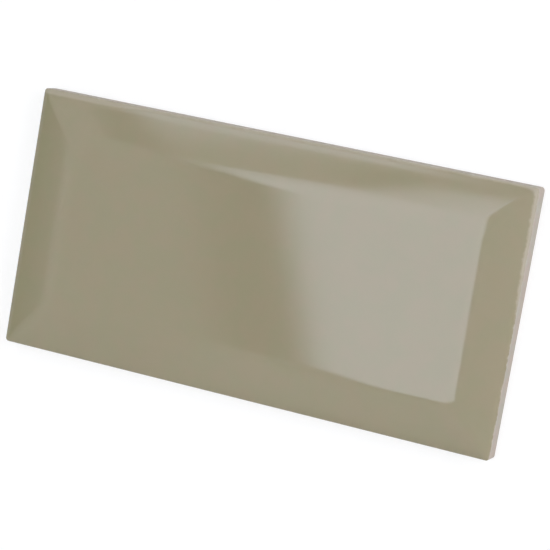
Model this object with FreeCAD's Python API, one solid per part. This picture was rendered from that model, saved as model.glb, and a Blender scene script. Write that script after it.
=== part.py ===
# A bevelled ceramic wall tile: one pressed and fired piece, lying flat with its glazed face up.
# The origin is on the back, under the middle of the tile. X runs along the length, Y across the
# width and Z from the back to the face. Every size is in millimetres.
import FreeCAD, Part
import math
import os

# Outline of the tile, seen from the front
LENGTH = 150.0
WIDTH = 75.0
CORNER_RADIUS = 1.0

# Section, from the back to the face
THICKNESS = 8.0
BEVEL_RUN = 12.4
BEVEL_RISE = 2.3
BEVEL_CROWN = 0.12
ARRIS_DROP = 0.6
ARRIS_RUN = 3.0
BACK_EDGE_CHAMFER = 0.2

# Flat panel in the middle of the face, and the soft crease where the bevels run into it
CREASE_LEG = 2.5
PANEL_CORNER_RADIUS = 4.0

# Shallow grooves pressed into the back, which key the tile to its adhesive
GROOVE_WIDTH = 5.5
GROOVE_DEPTH = 0.7
GROOVE_FLANK_ANGLE = 30.0
RIB_WIDTH = 4.5
BACK_MARGIN = 8.0

# How a band of the section runs from one outline to the next: straight, or along a curve
RULED = True
SMOOTH = False


def arc(centre_x, centre_y, radius, start_angle, height):
    """A quarter circle in a level plane, anticlockwise from start_angle in degrees."""
    circle = Part.Circle(FreeCAD.Vector(centre_x, centre_y, height), FreeCAD.Vector(0, 0, 1), radius)
    first = math.radians(start_angle)
    return Part.Arc(circle, first, first + math.pi / 2).toShape()


def rounded_rectangle(length, width, radius, height):
    """A level closed outline about the Z axis, with the same round at its four corners."""
    reach_x = length / 2 - radius
    reach_y = width / 2 - radius
    corners = [(reach_x, reach_y), (-reach_x, reach_y), (-reach_x, -reach_y), (reach_x, -reach_y)]
    arcs = [arc(x, y, radius, 90 * turn, height) for turn, (x, y) in enumerate(corners)]
    edges = []
    for this_arc, next_arc in zip(arcs, arcs[1:] + arcs[:1]):
        side = Part.LineSegment(this_arc.lastVertex().Point, next_arc.firstVertex().Point).toShape()
        edges += [this_arc, side]
    return Part.Wire(edges)


def slot(length, width, centre_y, height):
    """A level closed outline along X with half-round ends."""
    reach = (length - width) / 2
    half = width / 2
    right_top = FreeCAD.Vector(reach, centre_y + half, height)
    left_top = FreeCAD.Vector(-reach, centre_y + half, height)
    left_end = FreeCAD.Vector(-reach - half, centre_y, height)
    left_bottom = FreeCAD.Vector(-reach, centre_y - half, height)
    right_bottom = FreeCAD.Vector(reach, centre_y - half, height)
    right_end = FreeCAD.Vector(reach + half, centre_y, height)
    return Part.Wire([
        Part.LineSegment(right_top, left_top).toShape(),
        Part.Arc(left_top, left_end, left_bottom).toShape(),
        Part.LineSegment(left_bottom, right_bottom).toShape(),
        Part.Arc(right_bottom, right_end, right_top).toShape(),
    ])


def outline(inset, height):
    """A level outline this far in from the walls, whose corners open out towards the panel."""
    opening = (PANEL_CORNER_RADIUS - CORNER_RADIUS) / (BEVEL_RUN + CREASE_LEG)
    radius = CORNER_RADIUS + opening * inset
    return rounded_rectangle(LENGTH - 2 * inset, WIDTH - 2 * inset, radius, height)


def softened(before, corner, after):
    """Three points of the curve that leaves one leg of a corner and runs smoothly into the other."""
    middle = [(first + 2 * peak + last) / 4 for first, peak, last in zip(before, corner, after)]
    return [before, middle, after]


def bevel_height(inset):
    """Height of the crowned bevel, this far in from the walls."""
    share = inset / BEVEL_RUN
    return THICKNESS - BEVEL_RISE * (1 - share) + 4 * BEVEL_CROWN * share * (1 - share)


def bevel_slope(inset):
    """Rise of the crowned bevel for each millimetre inwards."""
    return (BEVEL_RISE + 4 * BEVEL_CROWN * (1 - 2 * inset / BEVEL_RUN)) / BEVEL_RUN


def section_bands():
    """The section as bands of (inset, height) points, from the foot of the wall to the panel."""
    crease_start = BEVEL_RUN - CREASE_LEG
    crease_run = (THICKNESS - bevel_height(crease_start)) / bevel_slope(crease_start)
    mid_bevel = (ARRIS_RUN + crease_start) / 2
    foot = (BACK_EDGE_CHAMFER, 0)
    wall_foot = (0, BACK_EDGE_CHAMFER)
    wall_top = (0, THICKNESS - BEVEL_RISE - ARRIS_DROP)
    arris_corner = (0, bevel_height(ARRIS_RUN) - bevel_slope(ARRIS_RUN) * ARRIS_RUN)
    bevel_foot = (ARRIS_RUN, bevel_height(ARRIS_RUN))
    bevel_middle = (mid_bevel, bevel_height(mid_bevel))
    bevel_top = (crease_start, bevel_height(crease_start))
    crease_corner = (crease_start + crease_run, THICKNESS)
    panel_edge = (crease_start + 2 * crease_run, THICKNESS)
    return [
        ([foot, wall_foot], RULED),
        ([wall_foot, wall_top], RULED),
        (softened(wall_top, arris_corner, bevel_foot), SMOOTH),
        ([bevel_foot, bevel_middle, bevel_top], SMOOTH),
        (softened(bevel_top, crease_corner, panel_edge), SMOOTH),
    ]


def pressed_blank():
    """The tile with a plain back: its bands lofted one above the other, closed by back and panel."""
    bands = section_bands()
    faces = []
    for points, straight in bands:
        outlines = [outline(inset, height) for inset, height in points]
        faces += Part.makeLoft(outlines, False, straight).Faces
    first_points = bands[0][0]
    last_points = bands[-1][0]
    faces.append(Part.Face(outline(*first_points[0])))
    faces.append(Part.Face(outline(*last_points[-1])))
    return Part.makeSolid(Part.makeShell(faces))


def key_grooves():
    """Parallel grooves with sloping flanks, in pairs either side of a rib along the middle."""
    pitch = GROOVE_WIDTH + RIB_WIDTH
    length = LENGTH - 2 * BACK_MARGIN
    narrowing = 2 * GROOVE_DEPTH * math.tan(math.radians(GROOVE_FLANK_ANGLE))
    room = WIDTH / 2 - BACK_MARGIN - RIB_WIDTH / 2
    pairs = int((room + RIB_WIDTH) // pitch)
    grooves = []
    for index in range(pairs):
        for side in (1, -1):
            centre_y = side * (index + 0.5) * pitch
            mouth = slot(length, GROOVE_WIDTH, centre_y, 0)
            floor = slot(length - narrowing, GROOVE_WIDTH - narrowing, centre_y, GROOVE_DEPTH)
            grooves.append(Part.makeLoft([mouth, floor], True, RULED))
    return grooves


os.makedirs("parts", exist_ok=True)
wall_tile = pressed_blank().cut(key_grooves())
wall_tile.exportStep("parts/tile.step")

box = wall_tile.BoundBox
print("tile:", len(wall_tile.Solids), "solid, valid", wall_tile.isValid(), "closed", wall_tile.isClosed())
print(f"size {box.XLength:.3f} x {box.YLength:.3f} x {box.ZLength:.3f} mm")
print(f"volume {wall_tile.Volume / 1000:.3f} cm3, faces {len(wall_tile.Faces)}")
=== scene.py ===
# %% [markdown]
# # A bevelled wall tile
# The object is one ceramic wall tile: a pressed and fired body with a raised flat panel, four bevels,
# bare walls, and a grooved back. A glossy grey-green glaze covers the face and the top of the walls.
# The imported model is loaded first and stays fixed. Its box is kept, so that the finished tile can be
# compared with it at the end.

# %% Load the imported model
import math

import bmesh
import bpy
from mathutils import Matrix, Vector


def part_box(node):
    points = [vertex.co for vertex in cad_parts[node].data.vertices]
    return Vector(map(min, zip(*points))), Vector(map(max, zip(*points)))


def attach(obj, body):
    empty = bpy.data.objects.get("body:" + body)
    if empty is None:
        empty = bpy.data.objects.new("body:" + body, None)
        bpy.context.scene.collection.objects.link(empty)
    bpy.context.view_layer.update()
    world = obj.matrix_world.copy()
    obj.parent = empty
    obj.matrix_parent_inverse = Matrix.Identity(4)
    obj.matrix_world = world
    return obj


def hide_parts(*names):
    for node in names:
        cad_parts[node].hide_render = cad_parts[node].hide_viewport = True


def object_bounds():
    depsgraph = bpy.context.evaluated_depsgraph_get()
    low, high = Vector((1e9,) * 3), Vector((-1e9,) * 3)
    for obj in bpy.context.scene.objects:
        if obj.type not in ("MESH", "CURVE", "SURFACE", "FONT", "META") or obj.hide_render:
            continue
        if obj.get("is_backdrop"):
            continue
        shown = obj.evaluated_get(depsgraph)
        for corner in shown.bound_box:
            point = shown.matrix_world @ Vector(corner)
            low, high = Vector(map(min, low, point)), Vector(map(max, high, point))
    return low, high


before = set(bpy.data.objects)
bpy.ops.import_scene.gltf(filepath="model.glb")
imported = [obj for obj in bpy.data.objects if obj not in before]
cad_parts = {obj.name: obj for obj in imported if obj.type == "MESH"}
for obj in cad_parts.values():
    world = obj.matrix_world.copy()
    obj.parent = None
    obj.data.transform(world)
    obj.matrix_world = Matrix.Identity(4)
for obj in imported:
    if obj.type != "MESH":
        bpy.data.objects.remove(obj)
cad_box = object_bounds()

scene = bpy.context.scene
scene.view_settings.view_transform = "Standard"

# %% [markdown]
# ## Sizes
# The length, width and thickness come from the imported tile. The section is given as a maker would
# measure it: how far the bevel runs in and rises, how much it is crowned, and how softly it meets the
# panel. Every value is in metres, so a size in millimetres is multiplied by MM.

# %% Sizes of the tile
MM = 0.001
tile_low, tile_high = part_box("tile")
LENGTH, WIDTH, THICKNESS = (tile_high[axis] - tile_low[axis] for axis in range(3))

BEVEL_RUN = 12.4 * MM
BEVEL_RISE = 2.3 * MM
BEVEL_CROWN = 0.12 * MM
CREASE_LEG = 2.5 * MM
CORNER_RADIUS = 1.0 * MM
PANEL_CORNER_RADIUS = 4.0 * MM
ARRIS_DROP = 0.6 * MM
ARRIS_RUN = 3.0 * MM
BACK_EDGE_CHAMFER = 0.2 * MM

GROOVE_WIDTH = 5.5 * MM
GROOVE_DEPTH = 0.7 * MM
GROOVE_FLANK_ANGLE = 30.0
RIB_WIDTH = 4.5 * MM
BACK_MARGIN = 8.0 * MM
GROOVE_COUNT = 6

RIM_HEIGHT = THICKNESS - BEVEL_RISE
whole_size = [round(length / MM, 1) for length in (LENGTH, WIDTH, THICKNESS)]
print("tile", whole_size, "mm, rim at", round(RIM_HEIGHT / MM, 1), "mm")

# %% [markdown]
# ## A small language for nodes
# Node trees are easier to read as expressions than as lists of links. The class below wraps one output
# socket. Arithmetic on it adds Math nodes, and one method adds any other node: it takes the node's
# type, its settings, and a value or a link for each socket. It serves shader trees and geometry trees.

# %% Write nodes as expressions
class Flow:
    """One output socket of a node tree, or the bare tree before its first node."""

    def __init__(self, tree, socket=None):
        self.tree = tree
        self.socket = socket

    def node(self, kind, settings=None, sockets=None, output=0):
        """Add a node: settings first, then sockets by name or number. Returns the chosen output."""
        made = self.tree.nodes.new(kind)
        for name, value in (settings or {}).items():
            setattr(made, name, value)
        for name, value in (sockets or {}).items():
            for part in value if isinstance(value, list) else [value]:
                if isinstance(part, Flow):
                    self.tree.links.new(part.socket, made.inputs[name])
                else:
                    made.inputs[name].default_value = part
        return Flow(self.tree, made.outputs[output] if made.outputs else None)

    def output(self, name):
        """Another output of the same node."""
        return Flow(self.tree, self.socket.node.outputs[name])

    def math(self, operation, first, second=0.0):
        return self.node("ShaderNodeMath", {"operation": operation}, {0: first, 1: second})

    def vector(self, operation, first, second):
        """Vector Math on two vectors, or on a vector and the number that scales it."""
        place = 3 if operation == "SCALE" else 1
        return self.node("ShaderNodeVectorMath", {"operation": operation}, {0: first, place: second})

    def combine(self, x, y, z):
        return self.node("ShaderNodeCombineXYZ", sockets={"X": x, "Y": y, "Z": z})

    def split(self):
        parts = self.node("ShaderNodeSeparateXYZ", sockets={0: self})
        return parts, parts.output("Y"), parts.output("Z")

    def fade(self, start, end):
        """Rises smoothly from 0 at start to 1 at end."""
        sockets = {"Value": self, "From Min": start, "From Max": end}
        return self.node("ShaderNodeMapRange", {"interpolation_type": "SMOOTHSTEP"}, sockets)

    def __add__(self, other):
        return self.math("ADD", self, other)

    def __radd__(self, other):
        return self.math("ADD", other, self)

    def __sub__(self, other):
        return self.math("SUBTRACT", self, other)

    def __rsub__(self, other):
        return self.math("SUBTRACT", other, self)

    def __mul__(self, other):
        return self.math("MULTIPLY", self, other)

    def __rmul__(self, other):
        return self.math("MULTIPLY", other, self)

    def __truediv__(self, other):
        return self.math("DIVIDE", self, other)

    def __rtruediv__(self, other):
        return self.math("DIVIDE", other, self)


def empty_tree(owner):
    """The node tree of a material or a world, emptied, as a bare flow."""
    owner.use_nodes = True
    owner.node_tree.nodes.clear()
    return Flow(owner.node_tree)


print("node language ready")

# %% [markdown]
# ## Camera
# The camera comes before the finish, because every colour is judged through it. The outline of the tile
# in the photograph fixes where it stands: high above the tile, a little to its right, with a long lens
# and a slight roll. The aim, distance, angles and lens were fitted to the four edges of the tile.

# %% Place the camera
AIM = Vector((6.067, -0.548, 8.0)) * MM
CAMERA_DISTANCE = 624.9 * MM
CAMERA_AZIMUTH = math.radians(20.431)
CAMERA_ELEVATION = math.radians(67.503)
CAMERA_ROLL = math.radians(-9.86)
LENS = 147.73
SENSOR = 36.0

backward = Vector((
    math.cos(CAMERA_ELEVATION) * math.cos(CAMERA_AZIMUTH),
    math.cos(CAMERA_ELEVATION) * math.sin(CAMERA_AZIMUTH),
    math.sin(CAMERA_ELEVATION),
))
level_right = Vector((0, 1, 0)).cross(backward).normalized()
level_up = backward.cross(level_right)
camera_right = math.cos(CAMERA_ROLL) * level_right - math.sin(CAMERA_ROLL) * level_up
camera_up = math.cos(CAMERA_ROLL) * level_up + math.sin(CAMERA_ROLL) * level_right

camera = bpy.data.objects.new("camera", bpy.data.cameras.new("camera"))
camera.data.lens = LENS
camera.data.sensor_width = SENSOR
turn = Matrix((camera_right, camera_up, backward)).transposed()
camera.matrix_world = Matrix.Translation(AIM + CAMERA_DISTANCE * backward) @ turn.to_4x4()
scene.collection.objects.link(camera)
scene.camera = camera
print("camera at", [round(value, 4) for value in camera.location])

# %% [markdown]
# ## Glaze and bisque
# The face is covered by a slightly uneven glaze: smooth as glass, with a faint mottle and very low waves.
# It is thin along the back edge and part of the right edge, so the pale body shows through it there. The
# rest of the walls and the back are bare bisque, which is matt, porous and a little pink. The colours are
# written as they look on a display, and a small function turns them into what a shader takes.

# %% Colours of the finish
def linear(red, green, blue):
    """A display colour from 0 to 255 as the linear colour that a shader takes."""
    shares = [value / 255 for value in (red, green, blue)]
    levels = [s / 12.92 if s <= 0.04045 else ((s + 0.055) / 1.055) ** 2.4 for s in shares]
    return (*levels, 1.0)


GLAZE_OLIVE = linear(143.5, 137, 110)
GLAZE_BROWN = linear(146.5, 136.5, 111)
GLAZE_THIN = linear(168, 160, 142)
BISQUE = linear(182, 177, 164)
BISQUE_WARM = linear(187, 174, 162)
# Painted shade: the darker colour laid into the bisque's pores, where shade falls in the small hollows
BISQUE_PORE_SHADE = linear(156, 146, 133)
GLAZE_ROUGHNESS = 0.06
BISQUE_ROUGHNESS = 0.88
REFRACTION = 1.5
print("glaze roughness", GLAZE_ROUGHNESS, "and bisque roughness", BISQUE_ROUGHNESS)

# %% [markdown]
# ## Where the glaze ends
# Glaze runs a little way down the walls and stops at a wavy line. Two materials on separate faces could
# show that, but the line wavers across the faces. So one material holds both, and a mask parts them. It
# is made from the height and the distance from the edges, and noise moves its borders to and fro.

# %% Borders of the glaze
# Where the glaze ends, in millimetres along the section from the rim: down the wall is less than zero.
# The section is followed only so far in, which keeps the back bare
GLAZE_LINE = -0.4
GLAZE_LINE_FADE = 0.3
FACE_REACH = 2.0

# How the borders of the glaze waver, in millimetres: a slow sway and a finer raggedness
SWAY = 1.3
SWAY_PER_MM = 0.12
RAGGED = 1.0
RAGGED_PER_MM = 0.8

# How many finer layers a fine noise has
FINE = 4.0

# How far in the glaze is thin, in millimetres: along the back edge, where the border wavers less and the
# left end is wider but better covered, and along the right edge, where it starts past the middle
THIN_BACK = 0.6
THIN_BACK_WAVER = 0.35
THIN_LEFT_END = 0.9
THIN_LEFT_START = (-40.0, -54.0)
LEFT_END_COVER = 0.35
THIN_RIGHT = 0.95
THIN_RIGHT_START = (-5.0, 15.0)
THIN_CORNER = 4.0
THIN_FADE = 0.8


def past_the_rim(place):
    """Millimetres along the section from the rim: inwards over the face, and down the wall below zero."""
    x, y, height = place.split()
    side_x = LENGTH / MM / 2 - place.math("ABSOLUTE", x)
    side_y = WIDTH / MM / 2 - place.math("ABSOLUTE", y)
    below_rim = place.math("MINIMUM", height - RIM_HEIGHT / MM, 0.0)
    inset = place.math("MINIMUM", side_x, side_y)
    return below_rim + place.math("MINIMUM", inset, FACE_REACH)


def cloud(place, per_mm, detail=2.0):
    """Soft noise from 0 to 1, with this many features to the millimetre and this many finer layers."""
    sockets = {"Vector": place, "Scale": per_mm, "Detail": detail}
    return place.node("ShaderNodeTexNoise", {"noise_dimensions": "3D"}, sockets, "Fac")


def glaze_masks(place):
    """Where the tile is glazed, and where that glaze is thin."""
    x, y, _ = place.split()
    sway = (cloud(place, SWAY_PER_MM) - 0.5) * SWAY
    waver = sway + (cloud(place, RAGGED_PER_MM, FINE) - 0.5) * RAGGED
    past_line = past_the_rim(place) + waver - GLAZE_LINE
    glazed = past_line.fade(-GLAZE_LINE_FADE / 2, GLAZE_LINE_FADE / 2)

    left_end = x.fade(*THIN_LEFT_START)
    thin_back = THIN_BACK + THIN_LEFT_END * left_end
    from_back = WIDTH / MM / 2 - y + THIN_BACK_WAVER * waver - thin_back
    from_right = LENGTH / MM / 2 - x + waver - THIN_RIGHT * y.fade(*THIN_RIGHT_START)
    from_both = place.node("ShaderNodeMath", {"operation": "SMOOTH_MIN"}, {
        0: from_back, 1: from_right, 2: THIN_CORNER,
    })
    thin = 1 - from_both.fade(-THIN_FADE / 2, THIN_FADE / 2)
    return glazed, thin * (1 - LEFT_END_COVER * left_end)


print("glaze ends", -GLAZE_LINE, "mm below the rim, within", (SWAY + RAGGED) / 2, "mm")

# %% [markdown]
# ## Mottle, grain and pores
# The glaze is faintly mottled, and the bisque has warm patches, grain and pores, and the pores are
# darkened with painted shade. Pictures could be laid on the tile, but noise in the material has no seams
# and holds at any size. The relief is at most a few hundredths of a millimetre high, too low to be worth
# modelling, so a Bump node shows it.

# %% Finish of the tile
# Patterns: features to the millimetre, and the height of the relief in millimetres
MOTTLE_PER_MM = 0.13
WAVES_PER_MM = 0.08
WAVE_HEIGHT = 0.008
PATCHES_PER_MM = 0.3
GRAIN_PER_MM = 2.2
GRAIN_HEIGHT = 0.04
PORES_PER_MM = 3.5
PORE_DEPTH = 0.05
PORE_SHADE = 0.5

# Where in the noise, which runs from 0 to 1, a second colour and the pores come in
COLOUR_CHANGE = (0.35, 0.65)
PORE_EDGE = (0.62, 0.72)

# How many finer layers the patterns of colour have
RICH = 3.0


def blend(share, first, second):
    """A colour part of the way from the first to the second."""
    return share.node("ShaderNodeMix", {"data_type": "RGBA"}, {0: share, 6: first, 7: second}, 2)


def tile_finish():
    """The fired glaze on the face, and the bare body on the walls and the back."""
    material = bpy.data.materials.new("fired_glaze_on_bisque")
    start = empty_tree(material)
    place = start.vector("SCALE", start.node("ShaderNodeTexCoord", output="Object"), 1 / MM)
    glazed, thin = glaze_masks(place)

    mottle = cloud(place, MOTTLE_PER_MM, RICH).fade(*COLOUR_CHANGE)
    glaze_colour = blend(mottle, GLAZE_OLIVE, GLAZE_BROWN)
    glaze_colour = blend(thin, glaze_colour, GLAZE_THIN)
    grain = cloud(place, GRAIN_PER_MM, FINE)
    pores = cloud(place, PORES_PER_MM).fade(*PORE_EDGE)
    patches = cloud(place, PATCHES_PER_MM, RICH).fade(*COLOUR_CHANGE)
    bisque_colour = blend(patches, BISQUE, BISQUE_WARM)
    # Painted shade darkens the bisque in its pores
    bisque_colour = blend(pores * PORE_SHADE, bisque_colour, BISQUE_PORE_SHADE)
    colour = blend(glazed, bisque_colour, glaze_colour)

    roughness = BISQUE_ROUGHNESS + (GLAZE_ROUGHNESS - BISQUE_ROUGHNESS) * glazed
    waves = cloud(place, WAVES_PER_MM) * WAVE_HEIGHT
    relief = waves + (1 - glazed) * (grain * GRAIN_HEIGHT - pores * PORE_DEPTH)
    bump = start.node("ShaderNodeBump", sockets={"Height": relief, "Distance": MM, "Strength": 1.0})
    shader = start.node("ShaderNodeBsdfPrincipled", sockets={
        "Base Color": colour, "Roughness": roughness, "Normal": bump, "IOR": REFRACTION,
    })
    start.node("ShaderNodeOutputMaterial", sockets={"Surface": shader})
    return material


finish = tile_finish()
print("finish:", finish.name, "with", len(finish.node_tree.nodes), "nodes")

# %% [markdown]
# ## One ring of the tile
# Every part of the tile follows a rounded outline: the walls, the bevels, the panel and the grooves of
# the back. Loops could be extruded and scaled by hand, but a new size would mean doing it again. So one
# small geometry group makes them all. It lays a grid, reads a point of the outline for each column and a
# point of the section for each row, and sets the grid's vertices from the two. A section point holds the
# inset from the walls, the corner radius there, and the height.

# %% A band that follows a rounded outline
FLOAT = "NodeSocketFloat"
WHOLE = "NodeSocketInt"
GEOMETRY = "NodeSocketGeometry"

# The outline's pattern: a square with round corners. Its corners turn into the tile's corners, and the
# reach of its straight sides is scaled to the tile's sides
PATTERN_SIDE = 4.0
PATTERN_RADIUS = 1.0
PATTERN_REACH = PATTERN_SIDE / 2 - PATTERN_RADIUS
CORNER_STEPS = 32

# How far the grid is turned along the outline, so that its seam falls in the middle of a side
SEAM_TURN = 0.75


def geometry_tree(name, inputs):
    """An empty geometry tree, and its named inputs as flows."""
    tree = bpy.data.node_groups.new(name, "GeometryNodeTree")
    tree.interface.new_socket("Mesh", in_out="OUTPUT", socket_type=GEOMETRY)
    for label, kind in inputs.items():
        tree.interface.new_socket(label, in_out="INPUT", socket_type=kind)
    entry = Flow(tree).node("NodeGroupInput")
    return tree, {label: entry.output(label) for label in inputs}


def ring_band_tree():
    """A section swept round a rounded rectangle, as a grid of columns and rows."""
    inputs = {"Section": GEOMETRY, "Length": FLOAT, "Width": FLOAT, "Columns": WHOLE, "Rows": WHOLE}
    tree, given = geometry_tree("ring_band", inputs)
    start = Flow(tree)
    square = start.node("GeometryNodeCurvePrimitiveQuadrilateral", sockets={
        "Width": PATTERN_SIDE, "Height": PATTERN_SIDE,
    })
    outline = start.node("GeometryNodeFilletCurve", {"mode": "POLY"}, {
        "Curve": square, "Count": CORNER_STEPS, "Radius": PATTERN_RADIUS,
    })
    outline_length = start.node("GeometryNodeCurveLength", sockets={"Curve": outline})
    grid = start.node("GeometryNodeMeshGrid", sockets={
        "Size X": 1.0, "Size Y": 1.0, "Vertices X": given["Columns"] + 1, "Vertices Y": given["Rows"] + 1,
    })
    across, along, _ = start.node("GeometryNodeInputPosition").split()

    def sample(curve, factor):
        sockets = {"Curves": curve, "Factor": factor}
        return start.node("GeometryNodeSampleCurve", {"mode": "FACTOR"}, sockets, "Position")

    corner = sample(outline, start.math("FRACT", across + SEAM_TURN - PATTERN_REACH / outline_length))
    inset, radius, height = sample(given["Section"], along + 0.5).split()

    core = start.vector("MINIMUM", corner, (PATTERN_REACH,) * 3)
    core = start.vector("MAXIMUM", core, (-PATTERN_REACH,) * 3)
    outward = start.vector("SUBTRACT", corner, core)
    reach = start.combine(given["Length"] / 2 - inset - radius, given["Width"] / 2 - inset - radius, 0.0)
    flat = start.vector("MULTIPLY", core, reach)
    flat = start.vector("ADD", flat, start.vector("SCALE", outward, radius))
    place = start.vector("ADD", flat, start.combine(0.0, 0.0, height))
    band = start.node("GeometryNodeSetPosition", sockets={"Geometry": grid, "Position": place})
    start.node("NodeGroupOutput", sockets={"Mesh": band})
    return tree


ring_band = ring_band_tree()
print("ring band:", len(ring_band.nodes), "nodes")

# %% [markdown]
# ## Section of the tile
# Cut across, the tile shows a back edge, a wall, an arris, a crowned bevel, a soft crease and the panel.
# Each is a line or a curve between two points of the section. A curve leaves and arrives along the lines
# to its peak, so that the wall, the arris, the bevel, the crease and the panel meet without a kink. The
# corners open out on the way in: they are sharp at the walls and rounder at the panel.

# %% Section of the tile
BACK_EDGE_ROWS = 2
WALL_ROWS = 6
ARRIS_ROWS = 12
BEVEL_ROWS = 20
CREASE_ROWS = 16
PANEL_ROWS = 20
CURVE_STEPS = 32


def line(first, last):
    """A straight part of a section."""
    return first.node("GeometryNodeCurvePrimitiveLine", sockets={"Start": first, "End": last})


def curve(first, peak, last):
    """A curved part of a section."""
    sockets = {"Resolution": CURVE_STEPS, "Start": first, "Middle": peak, "End": last}
    return first.node("GeometryNodeCurveQuadraticBezier", sockets=sockets)


def tile_sections(start, size):
    """The parts of the section, from the back edge to the middle of the panel, with the rows of each."""
    run = size["Bevel Run"]
    crown = size["Bevel Crown"]
    slope = size["Bevel Rise"] / run
    rim = size["Thickness"] - size["Bevel Rise"]
    opening = (size["Panel Corner Radius"] - size["Corner Radius"]) / (run + size["Crease Leg"])

    def level(inset, height):
        return start.combine(inset, size["Corner Radius"] + opening * inset, height)

    def bevel_height(inset):
        return rim + slope * inset + 4 * crown * (inset / run) * (1 - inset / run)

    def bevel_slope(inset):
        return slope + 4 * crown / run * (1 - 2 * inset / run)

    arris_run = size["Arris Run"]
    crease_inset = run - size["Crease Leg"]
    half_bevel = (crease_inset - arris_run) / 2
    chamfer = size["Back Edge Chamfer"]
    foot = level(chamfer, 0.0)
    wall_foot = level(0.0, chamfer)
    wall_top = level(0.0, rim - size["Arris Drop"])
    arris_peak = level(0.0, bevel_height(arris_run) - bevel_slope(arris_run) * arris_run)
    bevel_foot = level(arris_run, bevel_height(arris_run))
    peak_rise = bevel_slope(arris_run) * half_bevel
    bevel_peak = level(arris_run + half_bevel, bevel_height(arris_run) + peak_rise)
    bevel_top = level(crease_inset, bevel_height(crease_inset))
    crease_run = (size["Thickness"] - bevel_height(crease_inset)) / bevel_slope(crease_inset)
    crease_peak = level(crease_inset + crease_run, size["Thickness"])
    panel_edge = level(crease_inset + 2 * crease_run, size["Thickness"])
    panel_ridge = start.combine(size["Width"] / 2, 0.0, size["Thickness"])
    return [
        (line(foot, wall_foot), BACK_EDGE_ROWS),
        (line(wall_foot, wall_top), WALL_ROWS),
        (curve(wall_top, arris_peak, bevel_foot), ARRIS_ROWS),
        (curve(bevel_foot, bevel_peak, bevel_top), BEVEL_ROWS),
        (curve(bevel_top, crease_peak, panel_edge), CREASE_ROWS),
        (line(panel_edge, panel_ridge), PANEL_ROWS),
    ]


face_rows = BACK_EDGE_ROWS + WALL_ROWS + ARRIS_ROWS + BEVEL_ROWS + CREASE_ROWS + PANEL_ROWS
print("section with", face_rows, "rows")

# %% [markdown]
# ## Key grooves of the back
# The back has shallow parallel grooves, where the bedding mortar takes hold. They are alike, so one
# groove is made from two bands, its flank and its floor, and is repeated along a line. Each is open at
# its mouth, ready to be joined to the back.

# %% Key grooves
GROOVE_COLUMNS = 96
GROOVE_ROWS = 4
MERGE_DISTANCE = 0.001 * MM


def band(section, length, width, columns, rows):
    """A part of a section, carried round an outline of this length and width."""
    sockets = {"Section": section, "Length": length, "Width": width, "Columns": columns, "Rows": rows}
    return section.node("GeometryNodeGroup", {"node_tree": ring_band}, sockets)


def join(parts):
    """Meshes made one, with the points that they share merged."""
    joined = parts[0].node("GeometryNodeJoinGeometry", sockets={"Geometry": parts})
    sockets = {"Geometry": joined, "Distance": MERGE_DISTANCE}
    return joined.node("GeometryNodeMergeByDistance", sockets=sockets)


def groove_row(start, size):
    """All the grooves of the back, side by side."""
    half_groove = size["Groove Width"] / 2
    floor_inset = size["Groove Narrowing"]
    mouth = start.combine(0.0, half_groove, 0.0)
    floor_edge = start.combine(floor_inset, half_groove - floor_inset, size["Groove Depth"])
    floor_ridge = start.combine(half_groove, 0.0, size["Groove Depth"])
    groove_length = size["Length"] - 2 * size["Back Margin"]
    groove = join([
        band(section, groove_length, size["Groove Width"], GROOVE_COLUMNS, GROOVE_ROWS)
        for section in (line(mouth, floor_edge), line(floor_edge, floor_ridge))
    ])
    pitch = size["Groove Width"] + size["Rib Width"]
    first_groove = start.combine(0.0, pitch * (1 - size["Groove Count"]) / 2, 0.0)
    row = start.node("GeometryNodeMeshLine", sockets={
        "Count": size["Groove Count"], "Start Location": first_groove,
        "Offset": start.combine(0.0, pitch, 0.0),
    })
    copies = start.node("GeometryNodeInstanceOnPoints", sockets={"Points": row, "Instance": groove})
    return start.node("GeometryNodeRealizeInstances", sockets={"Geometry": copies})


print("back with", GROOVE_COUNT, "grooves")

# %% [markdown]
# ## The pressed tile
# A press forms the whole tile in one stroke, so its shape is one rule: a section carried round the
# outline. The rule is a geometry tree with the sizes as inputs, which could be changed without modelling
# anything again. The bands and the grooves are joined, and the back is filled in between the outline and
# the mouths of the grooves.

# %% The tile as a rule
TILE_SIZES = {
    "Length": LENGTH, "Width": WIDTH, "Thickness": THICKNESS,
    "Bevel Run": BEVEL_RUN, "Bevel Rise": BEVEL_RISE, "Bevel Crown": BEVEL_CROWN,
    "Crease Leg": CREASE_LEG, "Arris Drop": ARRIS_DROP, "Arris Run": ARRIS_RUN,
    "Back Edge Chamfer": BACK_EDGE_CHAMFER,
    "Corner Radius": CORNER_RADIUS, "Panel Corner Radius": PANEL_CORNER_RADIUS,
    "Groove Width": GROOVE_WIDTH, "Groove Depth": GROOVE_DEPTH, "Rib Width": RIB_WIDTH,
    "Groove Narrowing": GROOVE_DEPTH * math.tan(math.radians(GROOVE_FLANK_ANGLE)),
    "Back Margin": BACK_MARGIN, "Groove Count": GROOVE_COUNT,
}
COLUMNS = 480
SHARP_ANGLE = math.radians(25)


def close_back(open_tile):
    """The back, filled in between every open edge."""
    face_count = open_tile.node("GeometryNodeInputMeshEdgeNeighbors")
    border = open_tile.node("FunctionNodeCompare", {"data_type": "INT", "operation": "EQUAL"}, {
        2: face_count, 3: 1,
    })
    loops = open_tile.node("GeometryNodeMeshToCurve", sockets={"Mesh": open_tile, "Selection": border})
    back = open_tile.node("GeometryNodeFillCurve", {"mode": "TRIANGLES"}, {"Curve": loops})
    return join([open_tile, back])


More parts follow.
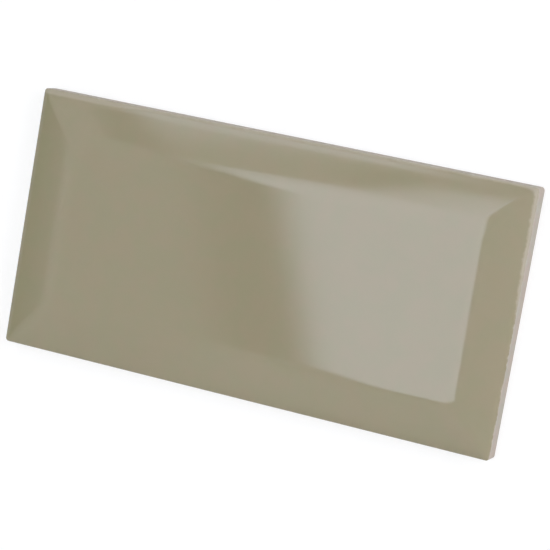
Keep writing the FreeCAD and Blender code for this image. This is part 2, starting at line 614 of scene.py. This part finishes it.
def shade(mesh):
    """Smooth faces, with the edges past the sharp angle kept sharp."""
    smooth = mesh.node("GeometryNodeSetShadeSmooth", {"domain": "FACE"}, {
        "Geometry": mesh, "Shade Smooth": True,
    })
    angle = mesh.node("GeometryNodeInputMeshEdgeAngle")
    sharp = mesh.node("FunctionNodeCompare", {"data_type": "FLOAT", "operation": "GREATER_THAN"}, {
        0: angle, 1: SHARP_ANGLE,
    })
    return mesh.node("GeometryNodeSetShadeSmooth", {"domain": "EDGE"}, {
        "Geometry": smooth, "Selection": sharp, "Shade Smooth": False,
    })


def tile_tree():
    """The whole tile: bands of its section, grooves of its back, and the plate between them."""
    kinds = {label: WHOLE if isinstance(value, int) else FLOAT for label, value in TILE_SIZES.items()}
    tree, size = geometry_tree("pressed_tile", kinds)
    start = Flow(tree)
    blank = [
        band(section, size["Length"], size["Width"], COLUMNS, rows)
        for section, rows in tile_sections(start, size)
    ]
    shaded = shade(close_back(join(blank + [groove_row(start, size)])))
    whole = start.node("GeometryNodeRealizeInstances", sockets={"Geometry": shaded})
    finished = start.node("GeometryNodeSetMaterial", sockets={"Geometry": whole, "Material": finish})
    start.node("NodeGroupOutput", sockets={"Mesh": finished})
    return tree


pressed_tile = tile_tree()
print("pressed tile:", len(pressed_tile.nodes), "nodes")

# %% [markdown]
# ## From rule to mesh
# The library keeps plain meshes, so the tree is evaluated once and its result is kept in place of the
# modifier. The inputs are set by each socket's identifier, before the first evaluation. Fill and join
# leave faces turned either way, so the normals are made to point outwards last.

# %% Press the tile
def press(name, tree, sizes):
    """A mesh object made from a geometry tree with these input values."""
    piece = bpy.data.objects.new(name, bpy.data.meshes.new(name))
    scene.collection.objects.link(piece)
    modifier = piece.modifiers.new("rule", "NODES")
    modifier.node_group = tree
    for item in tree.interface.items_tree:
        if item.in_out == "INPUT":
            modifier[item.identifier] = sizes[item.name]
    evaluated = piece.evaluated_get(bpy.context.evaluated_depsgraph_get())
    mesh = bpy.data.meshes.new_from_object(evaluated)
    piece.modifiers.clear()
    piece.data = mesh
    return piece


def face_outwards(mesh):
    """Turn every face of a closed mesh outwards. Returns its open edges' number and its volume."""
    shape = bmesh.new()
    shape.from_mesh(mesh)
    bmesh.ops.recalc_face_normals(shape, faces=shape.faces)
    open_edges = [edge for edge in shape.edges if len(edge.link_faces) != 2]
    volume = shape.calc_volume(signed=True)
    shape.to_mesh(mesh)
    shape.free()
    return len(open_edges), volume


CM3 = (10 * MM) ** 3
tile = press("wall_tile", pressed_tile, TILE_SIZES)
open_edges, volume = face_outwards(tile.data)
print("tile:", len(tile.data.polygons), "faces,", open_edges, "open edges")
print("volume:", round(volume / CM3, 2), "cm3")

# %% [markdown]
# ## Cards of light
# A glossy face shows its lights, so each light is shaped as well as set to a level. In a studio that is
# done with softboxes and cards. Here each of them is a sheet that glows between soft straight edges and
# is clear outside them. An edge is written as a point on it in millimetres, the way into the light in
# degrees, and the width of its fade. Area lamps would light the tile as well, but their images in the
# glaze would have hard edges.

# %% Soft-edged cards
def glow_between(name, colour, level, edges):
    """A glow that fills the space between soft edges, and is clear outside them."""
    material = bpy.data.materials.new(name)
    start = empty_tree(material)
    place = start.vector("SCALE", start.node("ShaderNodeTexCoord", output="Object"), 1 / MM)
    x, y, _ = place.split()
    inside = 1.0
    for (edge_x, edge_y), way_in, fade in edges.values():
        way = math.radians(way_in)
        depth = (x - edge_x) * math.cos(way) + (y - edge_y) * math.sin(way)
        inside = inside * depth.fade(-fade / 2, fade / 2)
    glow = start.node("ShaderNodeEmission", sockets={"Color": colour, "Strength": level})
    clear = start.node("ShaderNodeBsdfTransparent")
    mixed = start.node("ShaderNodeMixShader", sockets={0: inside, 1: clear, 2: glow})
    start.node("ShaderNodeOutputMaterial", sockets={"Surface": mixed})
    return material


def level_sheet(name, half_x, half_y, height, material):
    """A level rectangle about the Z axis, for the stage."""
    mesh = bpy.data.meshes.new(name)
    corners = [(-half_x, -half_y), (half_x, -half_y), (half_x, half_y), (-half_x, half_y)]
    mesh.from_pydata([(x, y, height) for x, y in corners], [], [(0, 1, 2, 3)])
    mesh.materials.append(material)
    sheet = bpy.data.objects.new(name, mesh)
    scene.collection.objects.link(sheet)
    sheet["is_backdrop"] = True
    return sheet


CARD_HEIGHT = 900 * MM
CARD_REACH = 1.8
CARD_GAP = 10 * MM
cards = []


def add_card(name, colour, level, edges):
    """A card above the tile, a little higher than the one before it."""
    height = CARD_HEIGHT + CARD_GAP * len(cards)
    card = level_sheet(name, CARD_REACH, CARD_REACH, height, glow_between(name, colour, level, edges))
    card.visible_camera = False
    cards.append(card)


print("cards hang from", CARD_HEIGHT, "m upwards")

# %% [markdown]
# ## Softbox
# The softbox hangs above the tile, turned a little, with one corner cut away. The panel and the right end
# of the upper bevel mirror it, which gives the bright part of the face with its crisp edge. At the cut
# corner the light falls off slowly, so two edges lie there, a narrow and a wide one. Beside the softbox
# hangs a dark strip, whose image is the darker band left of the bright part.

# %% Softbox and dark strip
COOL = (0.82, 0.857, 0.97, 1.0)
WHITE = (1.0, 1.0, 1.0, 1.0)
SOFTBOX_LEVEL = 4.3
SOFTBOX_EDGES = {
    "left": ((-323, -128), 20, 36),
    "cut corner": ((-261, 278), -43, 47),
    "cut corner, wide": ((-261, 278), -43, 250),
    "back": ((-200, 304), -90, 60),
    "right": ((-34, -123), 197, 42),
    "front": ((-235, -290), 112, 30),
}
STRIP_LEVEL = 0.28
STRIP_EDGES = {
    "left": ((-400, -120), 14, 60),
    "back": ((0, 10), -90, 70),
    "right": ((-200, 0), 180, 40),
    "front": ((0, -205), 90, 50),
}

add_card("softbox", COOL, SOFTBOX_LEVEL, SOFTBOX_EDGES)
add_card("dark_strip", WHITE, STRIP_LEVEL, STRIP_EDGES)
print("cards:", [card.name for card in cards])

# %% [markdown]
# ## Lights for the bevels
# Each bevel leans away from the panel and mirrors another part of the room. A long light beyond the back
# edge shows in the rounded upper rim as a thin bright line, and the dark frame at its left end shows as a
# break in that line. Two weak lights, in front and on the left, lift the lower bevel and the left crease.
# A grey rim along the cut corner of the softbox darkens the upper bevel between its two lights, and a
# dark green flag on the left keeps the left bevel the darkest.

# %% Back light, weak lights, rim and flag
BACK_LEVEL = 3.5
BACK_EDGES = {
    "left": ((-486, 322), 14.5, 34),
    "right": ((-288, 560), 195, 110),
    "front": ((-420, 345), 104, 260),
    "front right corner": ((-328, 361), 129, 120),
    "back": ((0, 830), -90, 250),
}
FRAME_LEVEL = 0.3
FRAME_EDGES = {
    "left": ((-532, 311), 14.5, 30),
    "right": ((-486, 322), 194.5, 34),
    "front": ((0, 190), 90, 60),
    "back": ((0, 395), -90, 60),
}
FRONT_LEVEL = 1.3
FRONT_EDGES = {
    "left": ((-460, 0), 0, 200),
    "back": ((0, -400), -90, 250),
    "front": ((0, -720), 90, 300),
    "right": ((300, 0), 180, 200),
}
LEFT_LEVEL = 1.22
LEFT_EDGES = {
    "left": ((-780, 0), 0, 100),
    "right": ((-560, -140), 175, 60),
    "front": ((0, -620), 90, 150),
    "back": ((0, 340), -90, 100),
}
SOFTBOX_RIM_LEVEL = 0.4
SOFTBOX_RIM_EDGES = {
    "beside the softbox": ((-295, 255), 140, 30),
    "outside": ((-345, 297), -40, 40),
    "left": ((-332, 250), 0, 12),
    "right": ((-288, 330), 180, 40),
}
FLAG_DISTANCE = 900 * MM
FLAG_HALF_HEIGHT = 1.2
FLAG_HALF_WIDTH = 0.8
FLAG_COLOUR = (0.55, 1.0, 0.35, 1.0)
FLAG_LEVEL = 0.3
FLAG_EDGES = {
    "lower": ((450, 0), 0, 100),
    "upper": ((800, 0), 180, 500),
    "front": ((0, -600), 90, 200),
    "back": ((0, 600), -90, 200),
}

add_card("back_light", COOL, BACK_LEVEL, BACK_EDGES)
add_card("back_light_frame", WHITE, FRAME_LEVEL, FRAME_EDGES)
add_card("front_light", WHITE, FRONT_LEVEL, FRONT_EDGES)
add_card("left_light", WHITE, LEFT_LEVEL, LEFT_EDGES)
add_card("softbox_rim", WHITE, SOFTBOX_RIM_LEVEL, SOFTBOX_RIM_EDGES)
flag_glow = glow_between("left_flag", FLAG_COLOUR, FLAG_LEVEL, FLAG_EDGES)
flag = level_sheet("left_flag", FLAG_HALF_HEIGHT, FLAG_HALF_WIDTH, 0.0, flag_glow)
flag.matrix_world = Matrix.Translation((-FLAG_DISTANCE, 0, 0)) @ Matrix.Rotation(-math.pi / 2, 4, "Y")
flag.visible_camera = False
print("cards:", [card.name for card in cards], "and", flag.name)

# %% [markdown]
# ## Side lamp and white room
# A slightly cool lamp on the right lights the bevels and walls on that side more than the others, and
# casts the soft shadow. The room is plain white to the camera and in reflections, and dimmer as a fill,
# so that the lights still model the shape.

# %% Side lamp and white room
FILL_LEVEL = 0.6
LAMP_PLACE = (0.95, 0.35, 0.62)
LAMP_POWER = 7.5
LAMP_COLOUR = (0.93, 0.93, 1.0)
LAMP_WIDTH = 0.7
LAMP_HEIGHT = 0.5

lamp = bpy.data.objects.new("side_lamp", bpy.data.lights.new("side_lamp", "AREA"))
lamp.data.shape = "RECTANGLE"
lamp.data.size = LAMP_WIDTH
lamp.data.size_y = LAMP_HEIGHT
lamp.data.energy = LAMP_POWER
lamp.data.color = LAMP_COLOUR
lamp.location = LAMP_PLACE
lamp.rotation_euler = lamp.location.to_track_quat("Z", "Y").to_euler()
lamp.visible_camera = False
scene.collection.objects.link(lamp)


def seen_or(start, fill):
    """1 where the camera, a reflection or glass sees it, and the fill level elsewhere."""
    path = start.node("ShaderNodeLightPath")
    seen = start.math("MAXIMUM", path.output("Is Camera Ray"), path.output("Is Glossy Ray"))
    seen = start.math("MAXIMUM", seen, path.output("Is Transmission Ray"))
    return fill + (1 - fill) * seen


world = bpy.data.worlds.new("white_room")
sky = empty_tree(world)
sky_level = seen_or(sky, FILL_LEVEL)
sky_glow = sky.node("ShaderNodeBackground", sockets={"Color": WHITE, "Strength": sky_level})
sky.node("ShaderNodeOutputWorld", sockets={"Surface": sky_glow})
scene.world = world
print("side lamp at", LAMP_PLACE, "and a white room with fill", FILL_LEVEL)

# %% [markdown]
# ## Floor
# The tile lies on pale paper, a hair below its back. Paper alone would look grey beside the white room,
# so the camera and reflections see it lifted to white. Near the tile the lift is partial, which keeps
# the tile's soft shadow, and further off it is complete, so that no horizon shows.

# %% Floor
FLOOR_DROP = 0.02 * MM
FLOOR_REACH = 6.0
PAPER = (0.55, 0.55, 0.55, 1.0)
PAPER_LIFTED = (0.25, 0.25, 0.25, 1.0)
PAPER_LIFT = 0.77
SHADOW_NEAR = 250 * MM
SHADOW_FAR = 600 * MM


def floor_paper():
    """Pale paper that the camera and reflections see as white, with the tile's shadow on it."""
    material = bpy.data.materials.new("floor_paper")
    start = empty_tree(material)
    x, y, _ = start.node("ShaderNodeTexCoord", output="Object").split()
    distance = start.math("SQRT", x * x + y * y)
    paper = start.node("ShaderNodeBsdfDiffuse", sockets={"Color": PAPER})
    shaded = start.node("ShaderNodeBsdfDiffuse", sockets={"Color": PAPER_LIFTED})
    lift = start.node("ShaderNodeEmission", sockets={"Strength": PAPER_LIFT})
    lifted = start.node("ShaderNodeAddShader", sockets={0: shaded, 1: lift})
    white = start.node("ShaderNodeEmission")
    far = distance.fade(SHADOW_NEAR, SHADOW_FAR)
    seen_floor = start.node("ShaderNodeMixShader", sockets={0: far, 1: lifted, 2: white})
    mixed = start.node("ShaderNodeMixShader", sockets={0: seen_or(start, 0.0), 1: paper, 2: seen_floor})
    start.node("ShaderNodeOutputMaterial", sockets={"Surface": mixed})
    return material


level_sheet("floor", FLOOR_REACH, FLOOR_REACH, -FLOOR_DROP, floor_paper())
print("floor laid")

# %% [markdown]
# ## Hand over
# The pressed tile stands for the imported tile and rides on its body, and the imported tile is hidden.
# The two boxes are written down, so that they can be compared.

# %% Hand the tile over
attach(tile, "root")
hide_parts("tile")

boxes = {"cad": cad_box, "visual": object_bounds()}
for name, box in boxes.items():
    print(name, "box in mm:", [[round(value / MM, 3) for value in corner] for corner in box])
